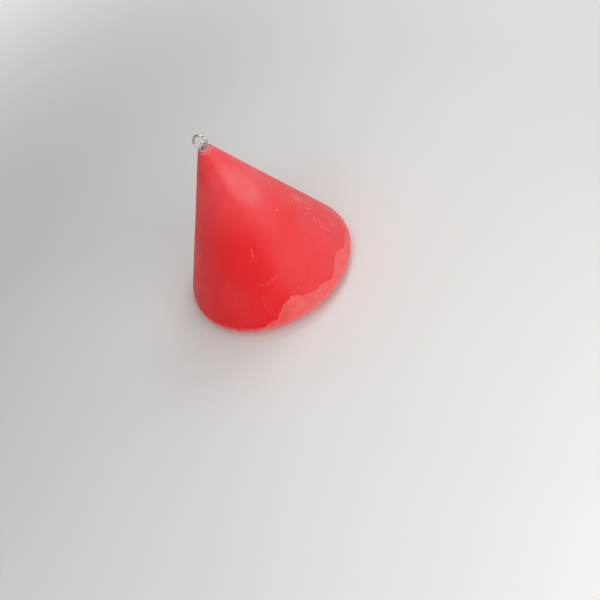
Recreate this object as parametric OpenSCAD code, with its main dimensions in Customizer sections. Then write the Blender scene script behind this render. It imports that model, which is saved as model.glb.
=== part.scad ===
// Conical marker buoy afloat. A cone-topped plastic hull is held on a through rod. The tip carries
// a plate, a low bar eye and a ring that swings in it; a plate, a nut and a forged eye nut sit below.
// Millimetres, +Z up along the rod. The origin is on the rod's axis at the waterline.

/* [Hull] */
// Diameter of the hull at its widest edge
hull_d = 600; // [520:10:760]
// Height of the widest edge above the waterline
edge_height = 40; // [25:1:60]
// Height of the upright land under the widest edge
edge_land = 6; // [5:0.5:12]
// Rounding between the cone's side and the land
edge_round = 10; // [4:1:12]
// Rounding between the land and the underside
under_round = 6; // [3:1:9]
// Height of the cone from the widest edge to the flat at its tip
cone_h = 555; // [440:1:700]
// Diameter of the tip where the cone's side would meet its flat
tip_d = 46; // [44:1:60]
// Rounding between the cone's side and the flat at its tip
tip_round = 4; // [1:0.5:5]
// Diameter of the blunt turn in the underside
knuckle_d = 410; // [330:10:460]
// Depth of that turn below the widest edge
knuckle_depth = 85; // [60:5:110]
// Rounding of that turn
knuckle_round = 120; // [40:5:160]
// Diameter of the flat bottom
base_d = 150; // [120:5:190]
// Depth of the flat bottom below the widest edge
base_depth = 160; // [140:5:200]
// Rounding between the underside and the flat bottom
base_round = 20; // [5:1:30]

/* [Through rod] */
// Diameter of the rod
rod_d = 16; // [12:1:18]
// Clearance round the rod in the hull
rod_gap = 0.5; // [0.2:0.1:1]
// Clearance round the rod in the plates and the nut
fit_gap = 0.1; // [0.05:0.05:0.2]

/* [Top plate and eye] */
// Diameter of the top plate
top_plate_d = 33; // [32:1:36]
// Thickness of the top plate
top_plate_t = 2.5; // [2:0.5:5]
// Diameter of the bar that the eye is bent from
eye_bar = 6; // [5:0.5:6.5]
// Clear width between the eye's legs
eye_gap = 18; // [17.6:0.2:19]
// Straight length of the eye's legs above the plate
eye_leg = 6; // [5:0.5:9]
// Direction of the line through the eye's legs, from +X towards +Y, in degrees
eye_turn = 25; // [25:1:55]

/* [Ring] */
// Diameter of the ring's bar
ring_bar = 8; // [6:0.5:8.5]
// Inner diameter of the ring
ring_inner_d = 35; // [30:1:50]
// Clearance between the ring and the top plate
ring_gap = 0.6; // [0.6:0.1:1]
// Distance from the rod's axis forwards to the ring's bar
ring_shift = 1; // [0.5:0.1:1.5]
// Lean of the ring from upright, backwards, in degrees
ring_lean = 9; // [0:1:60]
// Slide of the ring's bar through the eye, in degrees round the ring
ring_slide = 8; // [0:1:9]
// Direction of the ring's bar inside the eye, from +X towards +Y, in degrees
ring_turn = -32; // [-40:1:-32]

/* [Keel plate and nut] */
// Diameter of the keel plate
keel_plate_d = 100; // [70:5:115]
// Thickness of the keel plate
keel_plate_t = 6; // [4:1:10]
// Chamfer round the lower edge of the keel plate
keel_plate_chamfer = 1.5; // [0.5:0.5:3]
// Width of the nut across its flats
nut_flats = 24; // [22:1:27]
// Height of the nut
nut_h = 13; // [8:1:16]

/* [Eye nut] */
// Diameter of the eye nut's foot
foot_d = 34; // [28:1:44]
// Height of the foot
foot_h = 9; // [6:1:14]
// Diameter of the neck where it leaves the foot
neck_d = 28; // [24:1:30]
// Height of the neck between the foot and the eye
neck_h = 9; // [5:1:16]
// Diameter of the drilled hole that takes the mooring shackle's pin
hole_d = 20; // [16:1:26]
// Width of the metal round the hole
rim_w = 12; // [8:1:16]
// Thickness of the eye at its hole
lug_t = 14; // [10:1:20]
// Rounding of the eye's outer corners
lug_round = 4; // [1:0.5:4.5]
// Chamfer at both mouths of the hole
hole_chamfer = 1; // [0.5:0.5:2]
// Depth of the rod's thread in the eye nut
thread_depth = 14; // [10:1:15]

/* [Filling plug] */
// Diameter of the plug's head
plug_head_d = 44; // [38:1:56]
// Thickness of the plug's head
plug_head_t = 3; // [2:0.5:5]
// Diameter of the plug's shank
plug_shank_d = 30; // [20:1:34]
// Length of the plug's shank
plug_shank_l = 12; // [8:1:20]
// Clearance round the plug
plug_gap = 0.2; // [0.1:0.1:0.4]
// Width of the slot across the head
plug_slot_w = 4; // [3:0.5:6]
// Direction of the plug on the underside, from +X towards +Y, in degrees
plug_turn = 90; // [0:5:355]

/* [Hidden] */
$fn = 96;
ARC_STEPS = 8;
CUT = 1;
RED = "#e0302f";
DARK_RED = "#b3221f";
BRIGHT_STEEL = "#c9cbcc";
ZINC_STEEL = "#9a9d9e";

tip_z = edge_height + cone_h;
base_z = edge_height - base_depth;
plate_top_z = tip_z + top_plate_t;
keel_z = base_z - keel_plate_t;
foot_z = keel_z - nut_h;
lug_outer_r = hole_d / 2 + rim_w;
lug_sink = rim_w / 3;
lug_z = foot_z - foot_h - neck_h - lug_outer_r + lug_sink;
ring_r = (ring_inner_d + ring_bar) / 2;
ring_pivot_z = plate_top_z + ring_gap + ring_bar / 2;

// Columns: radius, height, rounding of that corner
hull_outline = [
  [0, tip_z, 0],
  [tip_d / 2, tip_z, tip_round],
  [hull_d / 2, edge_height, edge_round],
  [hull_d / 2, edge_height - edge_land, under_round],
  [knuckle_d / 2, edge_height - knuckle_depth, knuckle_round],
  [base_d / 2, base_z, base_round],
  [0, base_z, 0]
];

// Points of the arc that rounds the corner q, between its neighbours p and s. The arc takes half of a
// side at most, so that two neighbouring arcs never meet
function corner(p, q, s, r) =
  let (
    u = (p - q) / norm(p - q),
    v = (s - q) / norm(s - q),
    half = acos(u * v) / 2,
    reach = min(r / tan(half), norm(p - q) / 2, norm(s - q) / 2),
    centre = q + (u + v) / norm(u + v) * reach / cos(half),
    first = q + u * reach - centre,
    last = q + v * reach - centre,
    sweep = 180 - 2 * half
  )
  [for (k = [0:ARC_STEPS])
    centre + (first * sin(sweep * (1 - k / ARC_STEPS)) + last * sin(sweep * k / ARC_STEPS)) / sin(sweep)];

// A table of corners turned into the points of a rounded outline
function rounded(rows) =
  let (at = [for (row = rows) [row[0], row[1]]])
  [for (i = [0:len(rows) - 1])
    for (point = rows[i][2] == 0 ? [at[i]] : corner(at[i - 1], at[i], at[i + 1], rows[i][2]))
      point];

// Moves its children to the middle of the lower slope, with their +Z out of the hull
module at_plug() {
  slope_r = (knuckle_d + base_d) / 4;
  slope_z = edge_height - (knuckle_depth + base_depth) / 2;
  slope = atan2(base_depth - knuckle_depth, (knuckle_d - base_d) / 2);
  rotate([0, 0, plug_turn]) translate([slope_r, 0, slope_z]) rotate([0, 180 - slope, 0]) children();
}

module hull() {
  color(RED) difference() {
    rotate_extrude() polygon(rounded(hull_outline));
    translate([0, 0, base_z - CUT]) cylinder(h = tip_z - base_z + 2 * CUT, r = rod_d / 2 + rod_gap);
    at_plug() {
      translate([0, 0, -plug_head_t]) cylinder(h = plug_head_t + 10 * CUT, r = plug_head_d / 2 + plug_gap);
      translate([0, 0, -plug_head_t - plug_shank_l - plug_gap])
        cylinder(h = plug_shank_l + plug_head_t, r = plug_shank_d / 2 + plug_gap);
    }
  }
}

module fill_plug() {
  color(DARK_RED) at_plug() difference() {
    union() {
      translate([0, 0, -plug_head_t]) cylinder(h = plug_head_t, r = plug_head_d / 2);
      translate([0, 0, -plug_head_t - plug_shank_l]) cylinder(h = plug_shank_l + CUT, r = plug_shank_d / 2);
    }
    translate([-plug_head_d, -plug_slot_w / 2, -plug_head_t / 2])
      cube([2 * plug_head_d, plug_slot_w, plug_head_t]);
  }
}

module through_rod() {
  bottom_z = foot_z - thread_depth;
  color(BRIGHT_STEEL) translate([0, 0, bottom_z]) cylinder(h = plate_top_z - bottom_z, r = rod_d / 2);
}

module top_plate() {
  color(BRIGHT_STEEL) translate([0, 0, tip_z]) difference() {
    cylinder(h = top_plate_t, r = top_plate_d / 2);
    translate([0, 0, -CUT]) cylinder(h = top_plate_t + 2 * CUT, r = rod_d / 2 + fit_gap);
  }
}

module top_eye() {
  leg_x = (eye_gap + eye_bar) / 2;
  color(BRIGHT_STEEL) translate([0, 0, plate_top_z]) rotate([0, 0, eye_turn]) {
    for (side = [-1, 1]) translate([side * leg_x, 0, 0]) cylinder(h = eye_leg, r = eye_bar / 2);
    translate([0, 0, eye_leg]) rotate([90, 0, 0])
      rotate_extrude(angle = 180) translate([leg_x, 0]) circle(r = eye_bar / 2);
  }
}

module top_ring() {
  color(BRIGHT_STEEL) translate([0, 0, ring_pivot_z]) rotate([0, 0, ring_turn])
    translate([0, -ring_shift, 0]) rotate([-ring_lean, 0, 0]) rotate([0, -ring_slide, 0])
      translate([0, 0, ring_r]) rotate([90, 0, 0])
        rotate_extrude() translate([ring_r, 0]) circle(r = ring_bar / 2);
}

module keel_plate() {
  color(ZINC_STEEL) translate([0, 0, keel_z]) difference() {
    union() {
      cylinder(h = keel_plate_chamfer, r1 = keel_plate_d / 2 - keel_plate_chamfer, r2 = keel_plate_d / 2);
      translate([0, 0, keel_plate_chamfer])
        cylinder(h = keel_plate_t - keel_plate_chamfer, r = keel_plate_d / 2);
    }
    translate([0, 0, -CUT]) cylinder(h = keel_plate_t + 2 * CUT, r = rod_d / 2 + fit_gap);
  }
}

module keel_nut() {
  corner_r = nut_flats / 2 / cos(30);
  chamfer = (corner_r - nut_flats / 2) / 2;
  color(ZINC_STEEL) translate([0, 0, foot_z]) difference() {
    intersection() {
      cylinder(h = nut_h, r = corner_r, $fn = 6);
      union() {
        cylinder(h = chamfer, r1 = corner_r - 2 * chamfer, r2 = corner_r + CUT);
        translate([0, 0, chamfer]) cylinder(h = nut_h - chamfer, r = corner_r + CUT);
      }
    }
    translate([0, 0, -CUT]) cylinder(h = nut_h + 2 * CUT, r = rod_d / 2 + fit_gap);
  }
}

module eye_nut() {
  // Columns: radius, half thickness, rounding of that corner
  rim_outline = [
    [hole_d / 2, -lug_t / 2 + hole_chamfer, 0],
    [hole_d / 2 + hole_chamfer, -lug_t / 2, 0],
    [lug_outer_r, -lug_t / 2, lug_round],
    [lug_outer_r, lug_t / 2, lug_round],
    [hole_d / 2 + hole_chamfer, lug_t / 2, 0],
    [hole_d / 2, lug_t / 2 - hole_chamfer, 0]
  ];
  neck_end_z = lug_z + hole_d / 2 + rim_w / 3;
  color(ZINC_STEEL) difference() {
    union() {
      translate([0, 0, foot_z - foot_h]) cylinder(h = foot_h, r = foot_d / 2);
      translate([0, 0, neck_end_z])
        cylinder(h = foot_z - foot_h - neck_end_z, r1 = lug_t / 2, r2 = neck_d / 2);
      translate([0, 0, lug_z]) rotate([0, 90, 0]) rotate_extrude() polygon(rounded(rim_outline));
    }
    translate([0, 0, foot_z - thread_depth]) cylinder(h = thread_depth + CUT, r = rod_d / 2 + fit_gap);
  }
}

hull();
fill_plug();
through_rod();
top_plate();
top_eye();
top_ring();
keel_plate();
keel_nut();
eye_nut();
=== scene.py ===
"""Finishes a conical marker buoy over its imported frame: a moulded skin, welded steel fittings and a studio.

Everything is in metres. The origin is on the rod's axis at the waterline, +Z up.
"""

import math

import bmesh
import bpy
import numpy as np
from mathutils import Matrix, Vector


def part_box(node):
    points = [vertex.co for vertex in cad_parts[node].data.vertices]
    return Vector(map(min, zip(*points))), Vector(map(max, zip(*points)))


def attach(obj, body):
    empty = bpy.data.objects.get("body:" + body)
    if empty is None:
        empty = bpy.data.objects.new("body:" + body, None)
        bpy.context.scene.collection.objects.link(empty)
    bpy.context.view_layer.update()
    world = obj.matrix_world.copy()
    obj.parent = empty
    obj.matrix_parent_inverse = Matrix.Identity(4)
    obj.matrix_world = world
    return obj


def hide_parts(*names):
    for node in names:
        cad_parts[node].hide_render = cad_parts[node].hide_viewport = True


bl_info = {
    "name": "Marker Buoy",
    "version": (1, 0, 0),
    "blender": (4, 5, 0),
    "location": "3D View > Sidebar > Buoy",
    "description": "Finishes a conical marker buoy: moulded hull, welded steel fittings and a studio",
    "category": "Object",
}

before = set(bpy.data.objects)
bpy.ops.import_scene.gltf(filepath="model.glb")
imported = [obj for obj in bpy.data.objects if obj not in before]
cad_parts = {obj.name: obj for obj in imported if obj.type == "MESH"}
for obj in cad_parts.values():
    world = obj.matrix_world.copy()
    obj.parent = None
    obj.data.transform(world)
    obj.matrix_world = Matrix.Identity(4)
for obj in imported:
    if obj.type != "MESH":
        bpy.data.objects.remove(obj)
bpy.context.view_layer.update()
MM = 0.001
BUOY, RING = "buoy", "ring"


# Numbers and colours


def linear(code):
    """A hex sRGB colour as three linear values."""
    parts = [int(code[i : i + 2], 16) / 255 for i in (1, 3, 5)]
    return tuple(c / 12.92 if c <= 0.04045 else ((c + 0.055) / 1.055) ** 2.4 for c in parts)


def rgba(colour):
    """A colour of three values with full alpha."""
    return (*colour, 1.0)


def points_of(node):
    """The corners of a CAD node as an array."""
    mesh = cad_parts[node].data
    co = np.zeros(len(mesh.vertices) * 3, np.float32)
    mesh.vertices.foreach_get("co", co)
    return co.reshape(-1, 3).astype(float)


# Settings that a user would change


class BuoyHullSettings(bpy.types.PropertyGroup):
    """Sizes and colours of the moulded hull."""

    segments: bpy.props.IntProperty(
        name="Segments", description="Faces round the hull", default=288, min=48, max=400
    )
    row_height: bpy.props.FloatProperty(
        name="Row height", description="Largest height of a row of faces", default=5 * MM, unit="LENGTH"
    )
    wave_depth: bpy.props.FloatProperty(
        name="Wave depth", description="How far the moulded skin swells and sinks",
        default=0.9 * MM, unit="LENGTH",
    )
    wave_length: bpy.props.FloatProperty(
        name="Wave length", description="Distance between swells of the skin", default=170 * MM, unit="LENGTH"
    )
    dent_depth: bpy.props.FloatProperty(
        name="Dent depth", description="Depth of the knocks near the widest edge",
        default=1.2 * MM, unit="LENGTH",
    )
    plug_clearance: bpy.props.FloatProperty(
        name="Plug clearance", description="Gap round the head of the filling plug",
        default=0.2 * MM, unit="LENGTH",
    )
    red: bpy.props.FloatVectorProperty(
        name="Red", description="Colour of the plastic", subtype="COLOR", default=linear("#e3262b")
    )
    deep_red: bpy.props.FloatVectorProperty(
        name="Deep red", description="Colour where the skin is least faded",
        subtype="COLOR", default=linear("#e2171e"),
    )
    # Faded red also paints the sheen on the chalked side and top
    faded_and_sheen: bpy.props.FloatVectorProperty(
        name="Faded red", description="Colour where sun has chalked the skin",
        subtype="COLOR", default=linear("#e0555a"),
    )
    film: bpy.props.FloatVectorProperty(
        name="Dried film", description="Colour of the dried film near the widest edge", subtype="COLOR",
        default=linear("#ea7d79"),
    )
    # The scuff colour also paints the broad painted highlight high on the front-right flank
    scuff: bpy.props.FloatVectorProperty(
        name="Scuffs", description="Colour of the scraped plastic", subtype="COLOR", default=linear("#f8aaa4")
    )
    slime: bpy.props.FloatVectorProperty(
        name="Waterline growth", description="Colour of the thin growth below the waterline", subtype="COLOR",
        default=linear("#6a4a30"),
    )


class BuoySteelSettings(bpy.types.PropertyGroup):
    """Sizes and colours of the steel fittings."""

    stainless: bpy.props.FloatVectorProperty(
        name="Stainless", description="Colour of the polished fittings",
        subtype="COLOR", default=linear("#bab8b4"),
    )
    zinc: bpy.props.FloatVectorProperty(
        name="Zinc", description="Colour of the galvanised fittings", subtype="COLOR", default=linear("#a9adae")
    )
    weld_ripple: bpy.props.FloatProperty(
        name="Weld ripple", description="Length of one ripple of a weld bead", default=1.1 * MM, unit="LENGTH"
    )
    weld_width: bpy.props.FloatProperty(
        name="Weld width", description="Width of a weld bead", default=1.8 * MM, unit="LENGTH"
    )
    seam_rise: bpy.props.FloatProperty(
        name="Ring seam rise", description="How far the ring's butt weld stands proud",
        default=0.15 * MM, unit="LENGTH",
    )


class BuoyStageSettings(bpy.types.PropertyGroup):
    """The floor, the lamps and the camera."""

    floor: bpy.props.FloatVectorProperty(
        name="Floor", description="Colour of the floor", subtype="COLOR", default=linear("#e4e3e0")
    )
    floor_radius: bpy.props.FloatProperty(
        name="Floor radius", description="Radius of the floor", default=60.0, unit="LENGTH"
    )
    far_glow: bpy.props.FloatProperty(
        name="Far glow", description="How much the floor glows where the lamps don't reach", default=0.85
    )
    key_power: bpy.props.FloatProperty(
        name="Key lamp", description="Power of the soft box behind and to the right", default=30.0, unit="POWER"
    )
    side_power: bpy.props.FloatProperty(
        name="Side lamp", description="Power of the soft box in front and to the right",
        default=28.0, unit="POWER",
    )
    top_power: bpy.props.FloatProperty(
        name="Top lamp", description="Power of the soft box overhead", default=13.0, unit="POWER"
    )
    fill_power: bpy.props.FloatProperty(
        name="Fill lamp", description="Power of the soft box in front and to the left",
        default=15.0, unit="POWER",
    )
    lens: bpy.props.FloatProperty(
        name="Lens", description="Focal length in millimetres", default=51.0, unit="CAMERA"
    )


# Nodes


def feed(node, sockets):
    """Gives a node's sockets their values, or the nodes or outputs that feed them."""
    for key, value in sockets.items():
        if isinstance(value, bpy.types.Node):
            value = next(output for output in value.outputs if output.enabled)
        if isinstance(value, bpy.types.NodeSocket):
            node.id_data.links.new(value, node.inputs[key])
        else:
            node.inputs[key].default_value = value


def add(tree, kind, sockets=None, **settings):
    """Adds a node with its settings, its values and its links."""
    made = tree.nodes.new(kind)
    for name, value in settings.items():
        setattr(made, name, value)
    feed(made, sockets or {})
    return made


# A Map Range that eases in and out
SMOOTH = {"interpolation_type": "SMOOTHSTEP"}


def new_group(name, kind, inputs, output):
    """An empty node group: its tree, the sockets of its inputs and their identifiers by name."""
    tree = bpy.data.node_groups.new(name, kind)
    made = {label: tree.interface.new_socket(label, in_out="INPUT", socket_type=sort) for label, sort in inputs}
    tree.interface.new_socket(output[0], in_out="OUTPUT", socket_type=output[1])
    identifiers = {label: socket.identifier for label, socket in made.items()}
    return tree, add(tree, "NodeGroupInput").outputs, identifiers


def patches():
    """The group behind every mottle and stain: noise of a given size, cut softly between two levels."""
    known = bpy.data.node_groups.get("patches")
    if known:
        return known
    number = "NodeSocketFloat"
    tree, given, _ = new_group(
        "patches", "ShaderNodeTree",
        (("Vector", "NodeSocketVector"), ("Size", number), ("Detail", number), ("Low", number), ("High", number),
         ("First", number), ("Last", number)),
        ("Amount", number),
    )
    scale = add(tree, "ShaderNodeMath", {0: 1.0, 1: given["Size"]}, operation="DIVIDE")
    cloud = add(
        tree, "ShaderNodeTexNoise",
        {"Vector": given["Vector"], "Scale": scale, "Detail": given["Detail"], "Roughness": 0.6},
    )
    cut = add(
        tree, "ShaderNodeMapRange",
        {0: cloud, 1: given["Low"], 2: given["High"], 3: given["First"], 4: given["Last"]},
        **SMOOTH,
    )
    add(tree, "NodeGroupOutput", {0: cut})
    return tree


def new_material(name):
    """An empty material: its tree, its principled shader and the object coordinates in metres."""
    material = bpy.data.materials.new(name)
    material.use_nodes = True
    tree = material.node_tree
    tree.nodes.clear()
    shader = add(tree, "ShaderNodeBsdfPrincipled")
    add(tree, "ShaderNodeOutputMaterial", {"Surface": shader})
    return material, tree, shader, add(tree, "ShaderNodeTexCoord").outputs["Object"]


# Meshes


def placed(name, data):
    """A new object in the scene, at the origin."""
    made = bpy.data.objects.new(name, data)
    bpy.context.scene.collection.objects.link(made)
    return made


def new_piece(name, mesh, body, slot, material, *replaced):
    """A finished piece: its object, its body and the CAD nodes that it stands for; the slot is not used."""
    piece = placed(name, mesh)
    mesh.materials.clear()
    mesh.materials.append(material)
    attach(piece, body)
    if replaced:
        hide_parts(*replaced)
    return piece


def set_nodes(obj, tree, identifiers, values):
    """Gives an object a geometry nodes modifier, whose inputs are set by their identifiers."""
    modifier = obj.modifiers.new(tree.name, "NODES")
    modifier.node_group = tree
    for label, value in values.items():
        modifier[identifiers[label]] = value


def applied(obj, name):
    """The evaluated mesh of an object as a plain mesh; the object is removed."""
    bpy.context.view_layer.update()
    graph = bpy.context.evaluated_depsgraph_get()
    mesh = bpy.data.meshes.new_from_object(obj.evaluated_get(graph))
    mesh.name = name
    bpy.data.objects.remove(obj)
    return mesh


def shaded(mesh, smooth_below=math.radians(35)):
    """Smooth shading with sharp edges left where faces meet at more than an angle."""
    mesh.shade_smooth()
    mesh.set_sharp_from_angle(angle=smooth_below)
    return mesh


def merged_copy(node):
    """A CAD node's mesh with its loose triangles joined."""
    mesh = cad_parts[node].data.copy()
    shape = bmesh.new()
    shape.from_mesh(mesh)
    bmesh.ops.remove_doubles(shape, verts=shape.verts, dist=0.002 * MM)
    bmesh.ops.dissolve_limit(shape, angle_limit=math.radians(0.5), verts=shape.verts, edges=shape.edges)
    shape.to_mesh(mesh)
    shape.free()
    return mesh


def outward_mesh(name, verts, faces):
    """A closed mesh whose faces all point outwards."""
    mesh = bpy.data.meshes.new(name)
    mesh.from_pydata(verts, [], faces)
    shape = bmesh.new()
    shape.from_mesh(mesh)
    bmesh.ops.recalc_face_normals(shape, faces=shape.faces)
    shape.to_mesh(mesh)
    shape.free()
    return mesh


def turned(profile, segments, name):
    """A closed shape turned from a loop of (radius, height) pairs."""
    verts = [
        (r * math.cos(2 * math.pi * k / segments), r * math.sin(2 * math.pi * k / segments), z)
        for k in range(segments)
        for r, z in profile
    ]
    count = len(profile)
    faces = [
        (
            k * count + i,
            (k + 1) % segments * count + i,
            (k + 1) % segments * count + (i + 1) % count,
            k * count + (i + 1) % count,
        )
        for k in range(segments)
        for i in range(count)
    ]
    return outward_mesh(name, verts, faces)


def tube(path, radii, sides, closed, name):
    """A round bar along a path, each of whose points has its own radius."""
    path = [Vector(p) for p in path]
    count = len(path)
    verts, faces = [], []
    normal = None
    for i, point in enumerate(path):
        ahead = path[(i + 1) % count] if closed or i < count - 1 else point
        behind = path[i - 1] if closed or i > 0 else point
        along = (ahead - behind).normalized()
        if normal is None:
            normal = along.orthogonal().normalized()
        normal = (normal - along * normal.dot(along)).normalized()
        side = along.cross(normal)
        for k in range(sides):
            angle = 2 * math.pi * k / sides
            verts.append(point + (normal * math.cos(angle) + side * math.sin(angle)) * radii[i])
    for i in range(count if closed else count - 1):
        for k in range(sides):
            a, b = i * sides + k, i * sides + (k + 1) % sides
            c, d = (i + 1) % count * sides + (k + 1) % sides, (i + 1) % count * sides + k
            faces.append((a, b, c, d))
    if not closed:
        faces.append(tuple(range(sides))[::-1])
        faces.append(tuple((count - 1) * sides + k for k in range(sides)))
    return outward_mesh(name, verts, faces)


# The hull


def hull_profile(row_height):
    """The hull's outline as a closed loop of (radius, height), read from the frame away from the plug."""
    grid, apart = 0.02 * MM, 0.1 * MM
    points = points_of("hull")
    plug_low, plug_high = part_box("fill_plug")
    plug_side = (plug_low + plug_high) / 2
    away = points[:, :2] @ np.array(plug_side[:2]) < 0
    pairs = np.stack([np.hypot(points[away, 0], points[away, 1]), points[away, 2]], -1)
    pairs = np.unique(np.round(pairs / grid).astype(int), axis=0) * grid
    # In order round a point well inside the outline
    inside = pairs[:, 0].max() / 3
    turn = np.arctan2(pairs[:, 1], pairs[:, 0] - inside)
    pairs = pairs[np.argsort(turn)]
    kept = [pairs[0]]
    for pair in pairs[1:]:
        if np.linalg.norm(pair - kept[-1]) > apart:
            kept.append(pair)
    # The bore shows nowhere, so it gets no rows
    loop = []
    bore = min(r for r, _ in kept) + apart
    for first, last in zip(kept, kept[1:] + kept[:1]):
        hidden = max(first[0], last[0]) < bore
        steps = 1 if hidden else max(1, math.ceil(np.linalg.norm(last - first) / row_height))
        loop += [tuple(first + (last - first) * k / steps) for k in range(steps)]
    return loop


def skin_tree():
    """Geometry nodes that turn a profile into a moulded skin, with slow swells and a few knocks."""
    number = "NodeSocketFloat"
    tree, given, sockets = new_group(
        "moulded_skin", "GeometryNodeTree",
        (("Profile", "NodeSocketGeometry"), ("Segments", "NodeSocketInt"), ("Wave Depth", number),
         ("Wave Length", number), ("Dent Depth", number), ("Material", "NodeSocketMaterial")),
        ("Skin", "NodeSocketGeometry"),
    )
    profile = add(tree, "GeometryNodeMeshToCurve", {"Mesh": given["Profile"]})
    axle = add(tree, "GeometryNodeCurvePrimitiveCircle", {"Resolution": given["Segments"], "Radius": 0.001 * MM})
    skin = add(tree, "GeometryNodeCurveToMesh", {"Curve": axle, "Profile Curve": profile})
    place = add(tree, "GeometryNodeInputPosition")
    flat = add(tree, "ShaderNodeVectorMath", {0: place, 1: (1, 1, 0)}, operation="MULTIPLY")
    radius = add(tree, "ShaderNodeVectorMath", {0: flat}, operation="LENGTH")
    # The seats of the fittings stay true
    free = add(tree, "ShaderNodeMapRange", {0: radius, 1: 60 * MM, 2: 110 * MM}, **SMOOTH)
    # Slow swells, inwards only, so that the skin keeps inside its measured size
    scale = add(tree, "ShaderNodeMath", {0: 1.0, 1: given["Wave Length"]}, operation="DIVIDE")
    wave = add(tree, "ShaderNodeTexNoise", {"Vector": place, "Scale": scale, "Detail": 1.0})
    swell = add(tree, "ShaderNodeMapRange", {0: wave, 1: 0.2, 2: 0.8, 4: given["Wave Depth"]})
    # Knocks: shallow round dents, in the lowest part of the cone
    cell = add(tree, "ShaderNodeTexVoronoi", {"Vector": place, "Scale": 1 / (90 * MM), "Randomness": 1.0})
    dent = add(tree, "ShaderNodeMapRange", {0: cell, 1: 0.0, 2: 0.22, 3: given["Dent Depth"], 4: 0.0}, **SMOOTH)
    height = add(tree, "ShaderNodeSeparateXYZ", {0: place}).outputs["Z"]
    low = add(tree, "ShaderNodeMapRange", {0: height, 1: 60 * MM, 2: 170 * MM, 3: 1.0, 4: 0.0}, **SMOOTH)
    knock = add(tree, "ShaderNodeMath", {0: dent, 1: low, 2: swell}, operation="MULTIPLY_ADD")
    inwards = add(tree, "ShaderNodeMath", {0: knock, 1: free}, operation="MULTIPLY")
    depth = add(tree, "ShaderNodeMath", {0: inwards, 1: -1.0}, operation="MULTIPLY")
    outwards = add(tree, "GeometryNodeInputNormal")
    push = add(tree, "ShaderNodeVectorMath", {0: outwards, 3: depth}, operation="SCALE")
    moved = add(tree, "GeometryNodeSetPosition", {"Geometry": skin, "Offset": push})
    smooth = add(tree, "GeometryNodeSetShadeSmooth", {"Geometry": moved})
    real = add(tree, "GeometryNodeRealizeInstances", {"Geometry": smooth})
    painted = add(tree, "GeometryNodeSetMaterial", {"Geometry": real, "Material": given["Material"]})
    add(tree, "NodeGroupOutput", {0: painted})
    return tree, sockets


POLYETHYLENE_IOR = 1.51

# Marks on the hull. Columns: strength, width in mm, and the points that the mark passes, each as its angle
# round the hull in degrees and its height in mm
SCUFFS_AND_HIGHLIGHT = (
    (0.8, 3.5, ((-6, 283), (-4, 268), (-8, 260), (-13, 261))),
    (0.8, 4, ((-1.5, 215), (-5, 209), (-5.5, 200))),
    (0.35, 6, ((-20, 289), (-25, 293))),
    (0.13, 48, ((-14, 285), (-8, 232))),
    (0.65, 3.5, ((-21.5, 206), (-24, 197), (-26.5, 201), (-27.5, 191))),
    (0.65, 3, ((-22.5, 183), (-26.5, 172), (-27, 157), (-26, 128))),
    (0.28, 8, ((-20, 241), (-14.5, 211))),
    (0.28, 6, ((-27, 239), (-23, 220))),
    (0.65, 7, ((7, 110), (3, 106), (2, 94), (-1.5, 80), (-4, 70))),
    (0.6, 5, ((6, 262), (4, 244))),
    (0.6, 5, ((9, 236), (8, 213))),
    (0.55, 6, ((2, 190), (5, 174))),
    (0.6, 5, ((8, 160), (4, 141), (7, 124))),
    (0.45, 7, ((-10, 152), (-14, 139))),
    (0.5, 5, ((-15, 122), (-18, 108))),
    (0.28, 7, ((-48.5, 338), (-47, 328))),
    # Not a scuff: this broad faint oval is a painted highlight, where the upper front-right flank mirrors bright
    # light
    (0.11, 140, ((-66, 500), (-57, 420))),
    (0.32, 5, ((-100, 294), (-101.5, 280), (-102, 264))),
    (0.11, 7, ((-108, 180), (-102, 177.5), (-98, 175.5))),
    (0.07, 16, ((-98, 180), (-87, 187))),
    (0.2, 3, ((-108, 147), (-109, 128), (-108, 104))),
    (0.15, 5, ((-82, 114), (-79, 124))),
    (0.15, 5, ((-134, 184), (-135, 210))),
    (0.2, 6, ((-162, 140), (-161, 162))),
    (0.4, 9, ((27, 208), (42, 201))),
    (0.35, 12, ((79, 144), (86, 156))),
    (0.35, 7, ((125, 270), (131, 250))),
    (0.4, 8, ((156, 109), (170, 112))),
)

# Columns: angle round the hull in degrees, height of the dried film's upper edge in mm
FILM_EDGE = (
    (-180, 20), (-150, 22), (-125, 30), (-114, 48), (-109, 59), (-104, 62), (-102.5, 73), (-98, 92), (-94, 102),
    (-89.5, 110), (-85.5, 108), (-83, 95), (-79.5, 87), (-75, 84), (-71.5, 80), (-67, 80), (-64, 76), (-58, 63),
    (-51, 75), (-46, 88), (-39, 90), (-32, 70), (-15, 58), (5, 72), (40, 58), (90, 40), (140, 30), (180, 20),
)


def tip_radius():
    """The radius at which the cone's side ends, from the highest corners of the frame's hull."""
    points = points_of("hull")
    top = points[points[:, 2] > points[:, 2].max() - 5 * MM]
    return float(np.hypot(top[:, 0], top[:, 1]).max())


def scuff_and_highlight_group():
    """A group that draws one stretch of a mark, scrapes and the painted highlight alike: a pale oval, at a place
    and a turn of its own.
    """
    tree, given, _ = new_group(
        "scuff", "ShaderNodeTree",
        (("Vector", "NodeSocketVector"), ("Place", "NodeSocketVector"), ("Turn", "NodeSocketVector"),
         ("Reach", "NodeSocketVector"), ("Strength", "NodeSocketFloat"), ("Others", "NodeSocketFloat")),
        ("Amount", "NodeSocketFloat"),
    )
    oval = add(
        tree, "ShaderNodeMapping",
        {"Vector": given["Vector"], "Location": given["Place"], "Rotation": given["Turn"],
         "Scale": given["Reach"]},
        vector_type="TEXTURE",
    )
    away = add(tree, "ShaderNodeVectorMath", {0: oval}, operation="LENGTH")
    worn = add(tree, "ShaderNodeMapRange", {0: away, 1: 0.3, 2: 1.0, 3: given["Strength"], 4: 0.0}, **SMOOTH)
    most = add(tree, "ShaderNodeMath", {0: worn, 1: given["Others"]}, operation="MAXIMUM")
    add(tree, "NodeGroupOutput", {0: most})
    return tree


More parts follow.
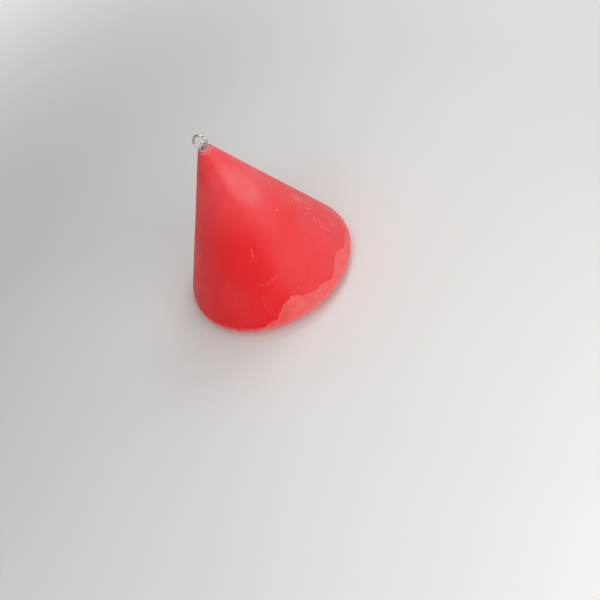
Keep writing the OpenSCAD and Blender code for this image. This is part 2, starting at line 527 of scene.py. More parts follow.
def scuff_and_highlight_mask(tree, place, half_angle):
    """Every scrape, and the painted highlight listed with them, as one mask, with outlines that noise breaks up.
    """
    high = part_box("hull")[1]
    slope = math.tan(half_angle)
    edge_height = high.z - (high.x - tip_radius()) / slope
    shift = add(
        tree, "ShaderNodeTexNoise", {"Vector": place, "Scale": 1 / (9 * MM), "Detail": 3.0, "Roughness": 0.7}
    )
    centred = add(
        tree, "ShaderNodeVectorMath", {0: shift.outputs["Color"], 1: (0.5, 0.5, 0.5)}, operation="SUBTRACT"
    )
    ragged = add(
        tree, "ShaderNodeVectorMath", {0: centred, 1: (6 * MM,) * 3, 2: place}, operation="MULTIPLY_ADD"
    )
    group = scuff_and_highlight_group()
    # Every oval reaches this far through the skin
    through = 20 * MM
    total = 0.0
    for strength, width, marks in SCUFFS_AND_HIGHLIGHT:
        for (angle, height), (next_angle, next_height) in zip(marks, marks[1:]):
            middle = (height + next_height) / 2 * MM
            radius = high.x - (middle - edge_height) * slope
            round_it = math.radians(next_angle - angle) * radius
            up_it = (next_height - height) * MM / math.cos(half_angle)
            turn = math.radians((angle + next_angle) / 2)
            facing = (
                Matrix.Rotation(turn, 3, "Z") @ Matrix.Rotation(-half_angle, 3, "Y")
                @ Matrix.Rotation(math.pi / 2 + math.atan2(up_it, round_it), 3, "X")
            )
            reach = (through, width * MM / 2, math.hypot(round_it, up_it) / 2 + width * MM / 2)
            total = add(
                tree, "ShaderNodeGroup",
                {"Vector": ragged, "Place": (radius * math.cos(turn), radius * math.sin(turn), middle),
                 "Turn": facing.to_euler(), "Reach": reach, "Strength": strength, "Others": total},
                node_tree=group,
            )
    return total


def film_mask(tree, place, height):
    """The dried film: it covers the skin below an edge whose height changes round the hull."""
    parts = add(tree, "ShaderNodeSeparateXYZ", {0: place}).outputs
    turn = add(tree, "ShaderNodeMath", {0: parts["Y"], 1: parts["X"]}, operation="ARCTAN2")
    share = add(tree, "ShaderNodeMapRange", {0: turn, 1: -math.pi, 2: math.pi})
    top = max(level for _, level in FILM_EDGE)
    curve = add(tree, "ShaderNodeValToRGB", {0: share})
    stops = curve.color_ramp.elements
    while len(stops) < len(FILM_EDGE):
        stops.new(0.5)
    for stop, (angle, level) in zip(stops, FILM_EDGE):
        stop.position = (angle + 180) / 360
        stop.color = rgba((level / top,) * 3)
    # The edge wanders a few millimetres up and down
    wander = add(tree, "ShaderNodeTexNoise", {"Vector": place, "Scale": 1 / (18 * MM), "Detail": 4.0})
    centred = add(tree, "ShaderNodeMapRange", {0: wander, 1: 0.0, 2: 1.0, 3: -8 * MM, 4: 8 * MM})
    ramp = curve.outputs["Color"]
    edge = add(tree, "ShaderNodeMath", {0: ramp, 1: top * MM, 2: centred}, operation="MULTIPLY_ADD")
    depth = add(tree, "ShaderNodeMath", {0: edge, 1: height}, operation="SUBTRACT")
    cover = add(tree, "ShaderNodeMapRange", {0: depth, 1: 0.0, 2: 2 * MM}, **SMOOTH)
    # It is a little thicker along that edge
    tide = add(tree, "ShaderNodeMapRange", {0: depth, 1: 2 * MM, 2: 7 * MM, 3: 1.3, 4: 1.0}, **SMOOTH)
    return add(tree, "ShaderNodeMath", {0: cover, 1: tide}, operation="MULTIPLY")


def hull_plastic(settings, half_angle):
    """Rotomoulded polyethylene: waxy, semi-gloss, fine peel, sun-chalked, scuffed pale; painted sheen and
    highlights too.
    """
    material, tree, shader, place = new_material("rotomoulded_polyethylene")
    mottle = patches()
    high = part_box("hull")[1]
    height = add(tree, "ShaderNodeSeparateXYZ", {0: place}).outputs["Z"]
    flat = add(tree, "ShaderNodeVectorMath", {0: place, 1: (1, 1, 0)}, operation="MULTIPLY")
    radius = add(tree, "ShaderNodeVectorMath", {0: flat}, operation="LENGTH")

    # The colour drifts slowly over the skin
    drift = add(
        tree, "ShaderNodeGroup",
        {"Vector": place, "Size": 200 * MM, "Detail": 1.5, "Low": 0.38, "High": 0.62, "Last": 1.0},
        node_tree=mottle,
    )
    colour = add(
        tree, "ShaderNodeMix", {0: drift, 6: rgba(settings.deep_red), 7: rgba(settings.red)}, data_type="RGBA"
    )

    # The sun has chalked one side and the top, in clouds; that paler colour is also a painted sheen of bright
    # sky
    side = add(tree, "ShaderNodeVectorMath", {0: flat}, operation="NORMALIZE")
    sunlit_side = Vector((math.cos(math.radians(-20)), math.sin(math.radians(-20)), 0))
    sunlit_side = add(tree, "ShaderNodeVectorMath", {0: side, 1: sunlit_side}, operation="DOT_PRODUCT")
    sunlit_side = add(tree, "ShaderNodeMapRange", {0: sunlit_side.outputs["Value"], 1: 0.25, 2: 1.0, 4: 0.54})
    top = add(tree, "ShaderNodeMapRange", {0: height, 1: 0.5 * high.z, 2: 0.82 * high.z, 4: 0.38}, **SMOOTH)
    faded_and_sheen = add(tree, "ShaderNodeMath", {0: sunlit_side, 1: top}, operation="ADD")
    chalk_and_sheen = add(
        tree, "ShaderNodeGroup",
        {"Vector": place, "Size": 75 * MM, "Detail": 4.0, "Low": 0.3, "High": 0.7, "First": 0.7, "Last": 1.25},
        node_tree=mottle,
    )
    chalk_and_sheen = add(tree, "ShaderNodeMath", {0: chalk_and_sheen, 1: faded_and_sheen}, operation="MULTIPLY", use_clamp=True)

    # Fine pale flecks, thickest near the widest edge
    reach = add(tree, "ShaderNodeMapRange", {0: radius, 1: high.x - 110 * MM, 2: high.x, 3: 0.04, 4: 0.3})
    fleck = add(
        tree, "ShaderNodeGroup",
        {"Vector": place, "Size": 9 * MM, "Detail": 4.0, "Low": 0.58, "High": 0.76, "Last": reach},
        node_tree=mottle,
    )

    # The dried film is patchy
    patchy = add(
        tree, "ShaderNodeGroup",
        {"Vector": place, "Size": 30 * MM, "Detail": 4.0, "Low": 0.3, "High": 0.7, "First": 0.3, "Last": 0.52},
        node_tree=mottle,
    )
    film = add(tree, "ShaderNodeMath", {0: film_mask(tree, place, height), 1: patchy}, operation="MULTIPLY")
    # Scrapes, with one broad painted highlight among them
    scuffs_and_highlight = scuff_and_highlight_mask(tree, place, half_angle)

    # The widest edge and the tip's rim are pale: partly wear from rubbing, partly a painted highlight on their
    # rounding
    edge = add(
        tree, "ShaderNodeMapRange", {0: radius, 1: high.x - 5 * MM, 2: high.x - 1 * MM, 4: 0.6},
        **SMOOTH,
    )
    tip = add(tree, "ShaderNodeMapRange", {0: height, 1: high.z - 5 * MM, 2: high.z - 1 * MM, 4: 0.7}, **SMOOTH)
    rim_wear_and_highlight = add(tree, "ShaderNodeMath", {0: edge, 1: tip}, operation="MAXIMUM")
    rim_wear_and_highlight = add(
        tree, "ShaderNodeGroup",
        {"Vector": place, "Size": 14 * MM, "Detail": 3.0, "Low": 0.25, "High": 0.55, "Last": rim_wear_and_highlight},
        node_tree=mottle,
    )

    # Thin growth below the waterline, with a ragged upper edge
    ragged = add(
        tree, "ShaderNodeGroup",
        {"Vector": place, "Size": 30 * MM, "Detail": 3.0, "Low": 0.0, "High": 1.0, "First": -4 * MM,
         "Last": 12 * MM},
        node_tree=mottle,
    )
    level = add(tree, "ShaderNodeMath", {0: height, 1: ragged}, operation="ADD")
    wet = add(tree, "ShaderNodeMapRange", {0: level, 1: 0.0, 2: 9 * MM, 3: 0.6, 4: 0.0}, **SMOOTH)
    growth = add(
        tree, "ShaderNodeGroup",
        {"Vector": place, "Size": 45 * MM, "Detail": 6.0, "Low": 0.1, "High": 0.75, "Last": wet},
        node_tree=mottle,
    )

    # Each lies over those before it
    layers = (
        (chalk_and_sheen, settings.faded_and_sheen), (fleck, settings.film), (film, settings.film), (scuffs_and_highlight, settings.scuff),
        (rim_wear_and_highlight, settings.film), (growth, settings.slime),
    )
    for mask, tint in layers:
        colour = add(tree, "ShaderNodeMix", {0: mask, 6: colour, 7: rgba(tint)}, data_type="RGBA")

    # Weathered polyethylene is duller than new; film, scuffs and growth take the gloss away
    dull = add(tree, "ShaderNodeMath", {0: film, 1: scuffs_and_highlight}, operation="MAXIMUM")
    dull = add(tree, "ShaderNodeMath", {0: dull, 1: growth}, operation="MAXIMUM")
    worn = add(
        tree, "ShaderNodeGroup",
        {"Vector": place, "Size": 45 * MM, "Detail": 4.0, "Low": 0.3, "High": 0.7, "First": 0.4, "Last": 0.52},
        node_tree=mottle,
    )
    rough = add(tree, "ShaderNodeMath", {0: dull, 1: 0.25, 2: worn}, operation="MULTIPLY_ADD")

    # A 3 mm peel from the mould, drawn a little coarse so that it shows, and fine rubbing marks
    peel = add(tree, "ShaderNodeTexNoise", {"Vector": place, "Scale": 1 / (3 * MM), "Detail": 2.0})
    rubs = add(tree, "ShaderNodeTexNoise", {"Vector": place, "Scale": 1 / (0.9 * MM), "Detail": 3.0})
    relief = add(tree, "ShaderNodeMath", {0: rubs, 1: 0.35, 2: peel}, operation="MULTIPLY_ADD")
    bump = add(tree, "ShaderNodeBump", {"Strength": 0.3, "Distance": 0.12 * MM, "Height": relief})
    feed(shader, {"Base Color": colour, "Roughness": rough, "IOR": POLYETHYLENE_IOR, "Specular IOR Level": 0.25,
                  "Normal": bump})
    return material


def plug_cutter(clearance):
    """A cylinder that clears the skin from over the plug: it stands on the seat of the plug's head."""
    points = points_of("fill_plug")
    centre = points.mean(0)
    directions = np.linalg.eigh((points - centre).T @ (points - centre))[1]
    places = (points - centre) @ directions
    away = np.hypot(places[:, 1], places[:, 2])
    head = places[away > 0.9 * away.max(), 0]
    out = 1 if head.mean() > places[:, 0].mean() else -1
    seat, face = (head * out).min(), (head * out).max()
    depth = face - seat + 10 * MM
    axis = Vector(directions[:, 0]) * out
    radius = float(np.ptp(places[:, 1])) / 2 + clearance
    turn = axis.to_track_quat("Z", "Y").to_matrix().to_4x4()
    place = Matrix.Translation(Vector(centre) + axis * (seat + depth / 2)) @ turn
    mesh = bpy.data.meshes.new("plug_cutter")
    shape = bmesh.new()
    bmesh.ops.create_cone(
        shape, cap_ends=True, segments=96, radius1=radius, radius2=radius, depth=depth, matrix=place
    )
    shape.to_mesh(mesh)
    shape.free()
    return placed("plug_cutter", mesh)


class BUOY_OT_hull(bpy.types.Operator):
    """Turns the moulded skin from the frame's outline and gives it its plastic"""

    bl_idname = "buoy.hull"
    bl_label = "Hull"

    def execute(self, context):
        settings = context.scene.buoy_hull
        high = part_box("hull")[1]
        loop = hull_profile(settings.row_height)
        half_angle = math.atan((high.x - tip_radius()) / (high.z - edge_top(loop)))
        material = hull_plastic(settings, half_angle)
        outline = bpy.data.meshes.new("hull_outline")
        count = len(loop)
        edges = [(i, (i + 1) % count) for i in range(count)]
        outline.from_pydata([(r, -z, 0) for r, z in loop[::-1]], edges, [])
        lathe = placed("lathe", outline)
        set_nodes(
            lathe, *skin_tree(),
            {"Segments": settings.segments, "Wave Depth": settings.wave_depth,
             "Wave Length": settings.wave_length, "Dent Depth": settings.dent_depth, "Material": material},
        )
        cutter = plug_cutter(settings.plug_clearance)
        recess = lathe.modifiers.new("recess", "BOOLEAN")
        recess.object = cutter
        recess.solver = "EXACT"
        mesh = applied(lathe, "hull_skin")
        bpy.data.objects.remove(cutter)
        shape = bmesh.new()
        shape.from_mesh(mesh)
        inward = shape.calc_volume(signed=True) < 0
        shape.free()
        if inward:
            raise RuntimeError("the turned skin faces inwards")
        new_piece("hull_skin", shaded(mesh), BUOY, "hull_plastic", material, "hull")
        return {"FINISHED"}


def edge_top(loop):
    """The height at which the cone's side meets the widest edge."""
    widest = max(r for r, z in loop)
    return max(z for r, z in loop if r > widest - 0.05 * MM)


# The filling plug


def plug_plastic():
    """Injection-moulded polyethylene: even, matt and a shade darker than the hull."""
    material, tree, shader, place = new_material("moulded_plug_polyethylene")
    mottle = patches()
    drift = add(
        tree, "ShaderNodeGroup",
        {"Vector": place, "Size": 12 * MM, "Detail": 4.0, "Low": 0.3, "High": 0.7, "Last": 1.0},
        node_tree=mottle,
    )
    dark, bright = rgba(linear("#8f2420")), rgba(linear("#a8332c"))
    colour = add(tree, "ShaderNodeMix", {0: drift, 6: dark, 7: bright}, data_type="RGBA")
    rough = add(
        tree, "ShaderNodeGroup",
        {"Vector": place, "Size": 6 * MM, "Detail": 3.0, "Low": 0.3, "High": 0.7, "First": 0.5, "Last": 0.62},
        node_tree=mottle,
    )
    grain = add(tree, "ShaderNodeTexNoise", {"Vector": place, "Scale": 1 / (1.2 * MM), "Detail": 2.0})
    bump = add(tree, "ShaderNodeBump", {"Strength": 0.3, "Distance": 0.08 * MM, "Height": grain})
    feed(shader, {"Base Color": colour, "Roughness": rough, "IOR": POLYETHYLENE_IOR, "Normal": bump})
    return material


def bevelled(node, width):
    """A copy of a CAD node with its sharp edges rounded."""
    body = placed(node, merged_copy(node))
    bevel = body.modifiers.new("edges", "BEVEL")
    bevel.width = width
    bevel.segments = 3
    bevel.limit_method = "ANGLE"
    bevel.angle_limit = math.radians(28)
    return shaded(applied(body, node + "_finished"))


class BUOY_OT_plug(bpy.types.Operator):
    """Finishes the plug of the foam filling hole"""

    bl_idname = "buoy.plug"
    bl_label = "Filling plug"

    def execute(self, context):
        mesh = bevelled("fill_plug", 0.4 * MM)
        new_piece("fill_plug_moulded", mesh, BUOY, "plug_plastic", plug_plastic(), "fill_plug")
        return {"FINISHED"}


# The steel fittings


def stainless_steel(settings):
    """Polished stainless bar: bright and softly worn, with dull pink painted on at its foot as a painted
    reflection of the red hull.
    """
    material, tree, shader, place = new_material("polished_stainless_steel")
    mottle = patches()
    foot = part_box("top_plate")[0].z
    height = add(tree, "ShaderNodeSeparateXYZ", {0: place}).outputs["Z"]
    # Dull pink painted near the plate, with the metal taken away there, is a painted reflection of the red hull
    reach = add(
        tree, "ShaderNodeMapRange", {0: height, 1: foot + 3 * MM, 2: foot + 6 * MM, 3: 0.95, 4: 0.0},
        **SMOOTH,
    )
    hull_reflection_mask = add(
        tree, "ShaderNodeGroup",
        {"Vector": place, "Size": 4 * MM, "Detail": 4.0, "Low": 0.22, "High": 0.55, "Last": reach},
        node_tree=mottle,
    )
    painted_hull_reflection = rgba(linear("#d898a2"))
    colour = add(tree, "ShaderNodeMix", {0: hull_reflection_mask, 6: rgba(settings.stainless), 7: painted_hull_reflection}, data_type="RGBA")
    bare = add(tree, "ShaderNodeMath", {0: hull_reflection_mask, 1: -0.95, 2: 1.0}, operation="MULTIPLY_ADD")
    worn = add(
        tree, "ShaderNodeGroup",
        {"Vector": place, "Size": 5 * MM, "Detail": 4.0, "Low": 0.3, "High": 0.7, "First": 0.16, "Last": 0.3},
        node_tree=mottle,
    )
    # The plate and the welds are duller than the bars
    rough = add(tree, "ShaderNodeMath", {0: reach, 1: 0.4, 2: worn}, operation="MULTIPLY_ADD")
    marks = add(tree, "ShaderNodeTexNoise", {"Vector": place, "Scale": 1 / (0.8 * MM), "Detail": 3.0})
    bump = add(tree, "ShaderNodeBump", {"Strength": 0.2, "Distance": 0.03 * MM, "Height": marks})
    feed(shader, {"Base Color": colour, "Metallic": bare, "Roughness": rough, "Normal": bump})
    return material


def zinc_steel(settings):
    """Hot-dip galvanised steel: dull grey spangle, with a chalky bloom from lying wet."""
    material, tree, shader, place = new_material("galvanised_steel")
    mottle = patches()
    cell = add(tree, "ShaderNodeTexVoronoi", {"Vector": place, "Scale": 1 / (7 * MM)})
    spangle = add(tree, "ShaderNodeSeparateXYZ", {0: cell.outputs["Color"]}).outputs["X"]
    dark = rgba([c * 0.62 for c in settings.zinc])
    colour = add(tree, "ShaderNodeMix", {0: spangle, 6: dark, 7: rgba(settings.zinc)}, data_type="RGBA")
    bloom = add(
        tree, "ShaderNodeGroup",
        {"Vector": place, "Size": 9 * MM, "Detail": 5.0, "Low": 0.5, "High": 0.68, "Last": 0.7},
        node_tree=mottle,
    )
    colour = add(tree, "ShaderNodeMix", {0: bloom, 6: colour, 7: rgba(linear("#c9cac6"))}, data_type="RGBA")
    bare = add(tree, "ShaderNodeMath", {0: 1.0, 1: bloom}, operation="SUBTRACT")
    rough = add(tree, "ShaderNodeMath", {0: spangle, 1: 0.12, 2: 0.38}, operation="MULTIPLY_ADD")
    rough = add(tree, "ShaderNodeMath", {0: bloom, 1: 0.3, 2: rough}, operation="MULTIPLY_ADD")
    relief = add(tree, "ShaderNodeTexNoise", {"Vector": place, "Scale": 1 / (2.2 * MM), "Detail": 3.0})
    bump = add(tree, "ShaderNodeBump", {"Strength": 0.4, "Distance": 0.12 * MM, "Height": relief})
    feed(shader, {"Base Color": colour, "Metallic": bare, "Roughness": rough, "Normal": bump})
    return material


def weld_tree():
    """Geometry nodes that lay overlapping ripples along a closed path, as a welder's bead."""
    tree, given, sockets = new_group(
        "weld_bead", "GeometryNodeTree",
        (("Path", "NodeSocketGeometry"), ("Ripple", "NodeSocketFloat"), ("Width", "NodeSocketFloat"),
         ("Seed", "NodeSocketInt"), ("Material", "NodeSocketMaterial")),
        ("Bead", "NodeSocketGeometry"),
    )
    path = add(tree, "GeometryNodeMeshToCurve", {"Mesh": given["Path"]})
    spots = add(tree, "GeometryNodeCurveToPoints", {"Curve": path, "Length": given["Ripple"]}, mode="LENGTH")
    drop = add(tree, "GeometryNodeMeshIcoSphere", {"Radius": 0.5, "Subdivisions": 3})
    size = add(
        tree, "FunctionNodeRandomValue", {2: 0.88, 3: 1.12, "Seed": given["Seed"]}, data_type="FLOAT"
    ).outputs[1]
    width = add(tree, "ShaderNodeMath", {0: given["Width"], 1: size}, operation="MULTIPLY")
    length = add(tree, "ShaderNodeMath", {0: given["Ripple"], 1: 2.4}, operation="MULTIPLY")
    scale = add(tree, "ShaderNodeCombineXYZ", {"X": width, "Y": width, "Z": length})
    laid = add(
        tree, "GeometryNodeInstanceOnPoints",
        {"Points": spots.outputs["Points"], "Instance": drop, "Rotation": spots.outputs["Rotation"],
         "Scale": scale},
    )
    real = add(tree, "GeometryNodeRealizeInstances", {"Geometry": laid})
    smooth = add(tree, "GeometryNodeSetShadeSmooth", {"Geometry": real})
    painted = add(tree, "GeometryNodeSetMaterial", {"Geometry": smooth, "Material": given["Material"]})
    add(tree, "NodeGroupOutput", {0: painted})
    return tree, sockets


def eye_sizes():
    """The bent eye's facts from the frame: the direction across its legs, their places, its bar and heights."""
    points = points_of("top_eye")
    flat = points[:, :2] - points[:, :2].mean(0)
    directions = np.linalg.eigh(flat.T @ flat)[1]
    across = directions[:, 1]
    reach = flat @ across
    thin = flat @ directions[:, 0]
    bar = float(np.ptp(thin))
    leg = float(np.ptp(reach)) / 2 - bar / 2
    return {
        "across": Vector((across[0], across[1], 0)),
        "bar": bar,
        "leg": leg,
        "foot": float(points[:, 2].min()),
        "top": float(points[:, 2].max()),
    }


def bent_eye(eye):
    """The eye's bar from one foot over the arch to the other."""
    straight = eye["top"] - eye["foot"] - eye["bar"] / 2 - eye["leg"]
    up = Vector((0, 0, 1))
    foot = Vector((0, 0, eye["foot"]))
    leg = eye["across"] * eye["leg"]
    path = [foot + leg + up * straight * k / 5 for k in range(5)]
    for k in range(41):
        angle = math.pi * k / 40
        path.append(foot + leg * math.cos(angle) + up * (straight + eye["leg"] * math.sin(angle)))
    path += [foot - leg + up * straight * (4 - k) / 5 for k in range(5)]
    return tube(path, [eye["bar"] / 2] * len(path), 32, False, "top_eye_bar")


def circle_path(rings, height, name):
    """Closed loops of points, each at a centre and radius, at one height."""
    verts, edges = [], []
    for (x, y), radius in rings:
        first = len(verts)
        count = 48
        for k in range(count):
            angle = 2 * math.pi * k / count
            verts.append((x + radius * math.cos(angle), y + radius * math.sin(angle), height))
            edges.append((first + k, first + (k + 1) % count))
    mesh = bpy.data.meshes.new(name)
    mesh.from_pydata(verts, edges, [])
    return mesh


def plate_mesh(node, hole, round_edge):
    """A round plate with softened rims, turned to the size of its CAD node."""
    low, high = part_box(node)
    inset = high.x - round_edge
    steps = 5
    loop = [(hole, low.z), (hole, high.z)]
    for start, middle in ((math.pi / 2, high.z - round_edge), (0, low.z + round_edge)):
        for k in range(steps + 1):
            angle = start - math.pi / 2 * k / steps
            loop.append((inset + round_edge * math.cos(angle), middle + round_edge * math.sin(angle)))
    return shaded(turned(loop, 96, node + "_finished"))


class BUOY_OT_top_fittings(bpy.types.Operator):
    """Finishes the plate, the welded eye and the rod's end at the tip"""

    bl_idname = "buoy.top_fittings"
    bl_label = "Top plate and eye"

    def execute(self, context):
        settings = context.scene.buoy_steel
        material = steel_of(context, "polished_stainless_steel", stainless_steel)
        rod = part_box("through_rod")[1].x
        plate = plate_mesh("top_plate", rod + 0.1 * MM, 0.8 * MM)
        new_piece("top_plate_finished", plate, BUOY, "stainless_steel", material, "top_plate")
        eye = eye_sizes()
        bar = shaded(bent_eye(eye), math.radians(60))
        new_piece("top_eye_bar", bar, BUOY, "stainless_steel", material, "top_eye")
        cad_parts["through_rod"].data.materials.clear()
        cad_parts["through_rod"].data.materials.append(material)

        (x, y), leg = eye["across"].xy, eye["leg"]
        feet = [((side * leg * x, side * leg * y), eye["bar"] / 2 + 0.3 * MM) for side in (-1, 1)]
        path = placed("weld_path", circle_path(feet, eye["foot"] + 0.2 * MM, "weld_path"))
        set_nodes(
            path, *weld_tree(),
            {"Ripple": settings.weld_ripple, "Width": settings.weld_width, "Seed": 3, "Material": material},
        )
        new_piece("top_eye_welds", applied(path, "top_eye_welds"), BUOY, "stainless_steel", material)
        return {"FINISHED"}


def steel_of(context, name, make):
    """A steel by its name, made once and shared by its pieces."""
    return bpy.data.materials.get(name) or make(context.scene.buoy_steel)


class BUOY_OT_ring(bpy.types.Operator):
    """Finishes the swinging ring, with the butt weld that closed it"""

    bl_idname = "buoy.ring"
    bl_label = "Ring"

    def execute(self, context):
        settings = context.scene.buoy_steel
        material = steel_of(context, "polished_stainless_steel", stainless_steel)
        points = points_of("top_ring")
        centre = points.mean(0)
        directions = np.linalg.eigh((points - centre).T @ (points - centre))[1]
        facing = directions[:, 0]
        across = (points - centre) @ facing
        bar = float(np.ptp(across)) / 2
        centre = centre + facing * (across.min() + across.max()) / 2
        flat = points - centre - np.outer((points - centre) @ facing, facing)
        mean_radius = float(np.linalg.norm(flat, axis=1).max()) - bar
        up = Vector((0, 0, 1))
        normal = Vector(facing)
        rise = (up - normal * up.dot(normal)).normalized()
        side = rise.cross(normal)
        count = 144
        seam_at = math.radians(205)
        path, radii = [], []
        for k in range(count):
            angle = 2 * math.pi * k / count
            path.append(Vector(centre) + (rise * math.cos(angle) + side * math.sin(angle)) * mean_radius)
            apart = abs((angle - seam_at + math.pi) % (2 * math.pi) - math.pi) * mean_radius
            radii.append(bar - settings.seam_rise * (1 - math.exp(-((apart / (1.4 * MM)) ** 2))))
        mesh = shaded(tube(path, radii, 36, True, "top_ring_bar"))
        new_piece("top_ring_bar", mesh, RING, "stainless_steel", material, "top_ring")
        return {"FINISHED"}


def forged(node, cell):
    """A CAD node remeshed and eased, so that its parts flow together as a forging's do."""
    body = placed(node, merged_copy(node))
    remesh = body.modifiers.new("cells", "REMESH")
    remesh.mode = "VOXEL"
    remesh.voxel_size = cell
    ease = body.modifiers.new("ease", "SMOOTH")
    ease.factor = 0.5
    ease.iterations = 6
    return shaded(applied(body, node + "_forged"), math.radians(70))


class BUOY_OT_keel_fittings(bpy.types.Operator):
    """Finishes the galvanised plate, nut and eye nut under the keel"""

    bl_idname = "buoy.keel_fittings"
    bl_label = "Keel fittings"

    def execute(self, context):
        material = steel_of(context, "galvanised_steel", zinc_steel)
        plate = plate_mesh("keel_plate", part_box("through_rod")[1].x + 0.1 * MM, 1.2 * MM)
        new_piece("keel_plate_finished", plate, BUOY, "galvanised_steel", material, "keel_plate")
        nut = bevelled("keel_nut", 0.5 * MM)
        new_piece("keel_nut_finished", nut, BUOY, "galvanised_steel", material, "keel_nut")
        eye_nut = forged("eye_nut", 0.7 * MM)
        new_piece("eye_nut_forged", eye_nut, BUOY, "galvanised_steel", material, "eye_nut")
        return {"FINISHED"}


# The studio


# The photograph's camera: its place in metres, how far it looks down and how far it is rolled
CAMERA_PLACE = (0.0248, -2.172, 2.1427)
CAMERA_PITCH = math.radians(47.348)
CAMERA_ROLL = math.radians(-29.69)

# The soft boxes. Columns: name, place, height of the point on the buoy's axis that it looks at, and its width
# and height, in metres
LAMPS = (
    ("key", (1.6, 1.0, 2.3), 0.3, (1.8, 1.8)),
    ("side", (1.15, -2.15, 1.35), 0.35, (2.2, 1.1)),
    ("top", (0.0, -1.03, 3.12), 0.3, (1.6, 1.6)),
    ("fill", (-1.32, -1.88, 2.23), 0.3, (1.6, 1.6)),
)


def place_camera(context, lens):
    """Sets the camera where the photograph was taken from."""
    data = bpy.data.cameras.new("camera")
    data.lens = lens
    camera = placed("camera", data)
    ahead = Vector((0, math.cos(CAMERA_PITCH), -math.sin(CAMERA_PITCH)))
    right = Vector((1, 0, 0))
    up = right.cross(ahead)
    across = right * math.cos(CAMERA_ROLL) + up * math.sin(CAMERA_ROLL)
    above = up * math.cos(CAMERA_ROLL) - right * math.sin(CAMERA_ROLL)
    turn = Matrix((across, above, -ahead)).transposed().to_4x4()
    camera.matrix_world = Matrix.Translation(CAMERA_PLACE) @ turn
    context.scene.camera = camera


def soft_lamp(name, place, target, size, power):
    """A soft box that looks at a point and isn't seen itself."""
    data = bpy.data.lights.new(name, "AREA")
    data.shape = "RECTANGLE"
    data.size, data.size_y = size
    data.energy = power
    lamp = placed(name, data)
    lamp.location = place
    lamp.rotation_euler = (Vector(target) - Vector(place)).to_track_quat("-Z", "Y").to_euler()
    lamp.visible_camera = False


def studio_world(context):
    """A plain room: pale walls all round under a dim ceiling."""
    world = bpy.data.worlds.new("studio")
    context.scene.world = world
    world.use_nodes = True
    tree = world.node_tree
    tree.nodes.clear()
    direction = add(tree, "ShaderNodeTexCoord").outputs["Generated"]
    rise = add(tree, "ShaderNodeSeparateXYZ", {0: direction}).outputs["Z"]
    above = add(tree, "ShaderNodeMapRange", {0: rise, 1: 0.15, 2: 0.4}, **SMOOTH)
    colour = add(
        tree, "ShaderNodeMix", {0: above, 6: (0.97, 0.97, 0.96, 1), 7: (0.22, 0.22, 0.22, 1)}, data_type="RGBA"
    )
    glow = add(tree, "ShaderNodeBackground", {"Color": colour, "Strength": 1.0})
    add(tree, "ShaderNodeOutputWorld", {"Surface": glow})


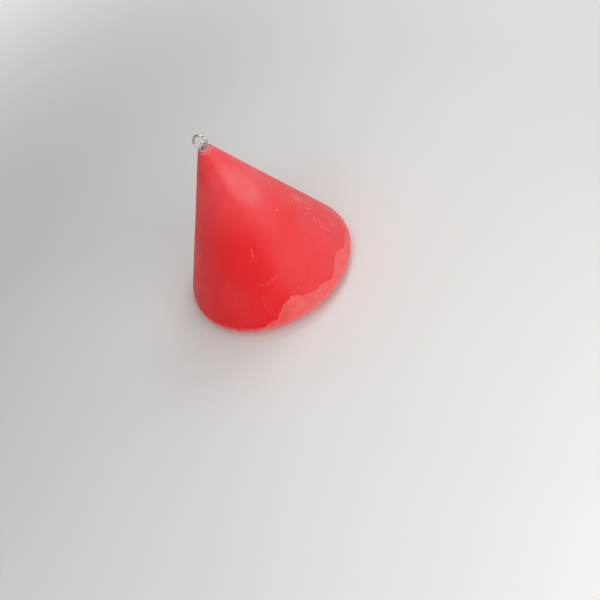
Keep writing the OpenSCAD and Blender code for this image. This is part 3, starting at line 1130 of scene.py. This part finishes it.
class BUOY_OT_stage(bpy.types.Operator):
    """Sets the pale floor at the waterline, the soft lamps and the camera"""

    bl_idname = "buoy.stage"
    bl_label = "Studio"

    def execute(self, context):
        settings = context.scene.buoy_stage
        context.scene.view_settings.view_transform = "Standard"
        mesh = bpy.data.meshes.new("floor")
        shape = bmesh.new()
        bmesh.ops.create_circle(shape, cap_ends=True, radius=settings.floor_radius, segments=64)
        shape.to_mesh(mesh)
        shape.free()
        material, tree, shader, place = new_material("matt_studio_floor")
        tone = add(
            tree, "ShaderNodeGroup",
            {"Vector": place, "Size": 0.9, "Detail": 2.0, "Low": 0.3, "High": 0.7, "Last": 1.0},
            node_tree=patches(),
        )
        shade = rgba([c * 0.985 for c in settings.floor])
        colour = add(tree, "ShaderNodeMix", {0: tone, 6: rgba(settings.floor), 7: shade}, data_type="RGBA")
        # Far from the lamps the floor glows a little, so that it stays as pale as it is near the buoy
        reach = add(tree, "ShaderNodeVectorMath", {0: place}, operation="LENGTH")
        far = add(
            tree, "ShaderNodeMapRange", {0: reach.outputs["Value"], 1: 1.1, 2: 4.6, 4: settings.far_glow},
            **SMOOTH,
        )
        # The glow is for the eye and for mirrors, and lights nothing
        looking = add(tree, "ShaderNodeLightPath").outputs
        seen = 0.0
        for ray in ("Is Camera Ray", "Is Glossy Ray", "Is Transmission Ray"):
            seen = add(tree, "ShaderNodeMath", {0: looking[ray], 1: seen}, operation="MAXIMUM")
        glow = add(tree, "ShaderNodeMath", {0: far, 1: seen}, operation="MULTIPLY")
        feed(shader, {"Base Color": colour, "Roughness": 0.85, "Emission Color": colour,
                      "Emission Strength": glow})
        mesh.materials.append(material)
        placed("floor", mesh)
        studio_world(context)
        for name, spot, height, size in LAMPS:
            soft_lamp(name, spot, (0, 0, height), size, getattr(settings, name + "_power"))
        place_camera(context, settings.lens)
        return {"FINISHED"}


class BUOY_PT_panel(bpy.types.Panel):
    """Lists the steps that finish the buoy."""

    bl_idname = "BUOY_PT_panel"
    bl_label = "Marker Buoy"
    bl_space_type = "VIEW_3D"
    bl_region_type = "UI"
    bl_category = "Buoy"

    def draw(self, context):
        for operator in OPERATORS:
            self.layout.operator(operator.bl_idname)
        for group, title in ((context.scene.buoy_hull, "Hull"), (context.scene.buoy_steel, "Steel"),
                             (context.scene.buoy_stage, "Studio")):
            box = self.layout.box()
            box.label(text=title)
            for name in group.bl_rna.properties.keys():
                if name not in ("rna_type", "name"):
                    box.prop(group, name)


SETTINGS = {"buoy_hull": BuoyHullSettings, "buoy_steel": BuoySteelSettings, "buoy_stage": BuoyStageSettings}
OPERATORS = (
    BUOY_OT_stage,
    BUOY_OT_hull,
    BUOY_OT_plug,
    BUOY_OT_top_fittings,
    BUOY_OT_ring,
    BUOY_OT_keel_fittings,
)


def register():
    """Registers the classes and hangs their settings on the scene."""
    for cls in (*SETTINGS.values(), *OPERATORS, BUOY_PT_panel):
        bpy.utils.register_class(cls)
    for name, cls in SETTINGS.items():
        setattr(bpy.types.Scene, name, bpy.props.PointerProperty(type=cls))


def unregister():
    """Takes away what register() added."""
    for name in SETTINGS:
        delattr(bpy.types.Scene, name)
    for cls in reversed((*SETTINGS.values(), *OPERATORS, BUOY_PT_panel)):
        bpy.utils.unregister_class(cls)


def main():
    """Runs every operator in order."""
    register()
    for operator in OPERATORS:
        module, name = operator.bl_idname.split(".")
        if getattr(getattr(bpy.ops, module), name)() != {"FINISHED"}:
            raise RuntimeError(operator.bl_label + " did not finish")


if __name__ == "__main__":
    main()
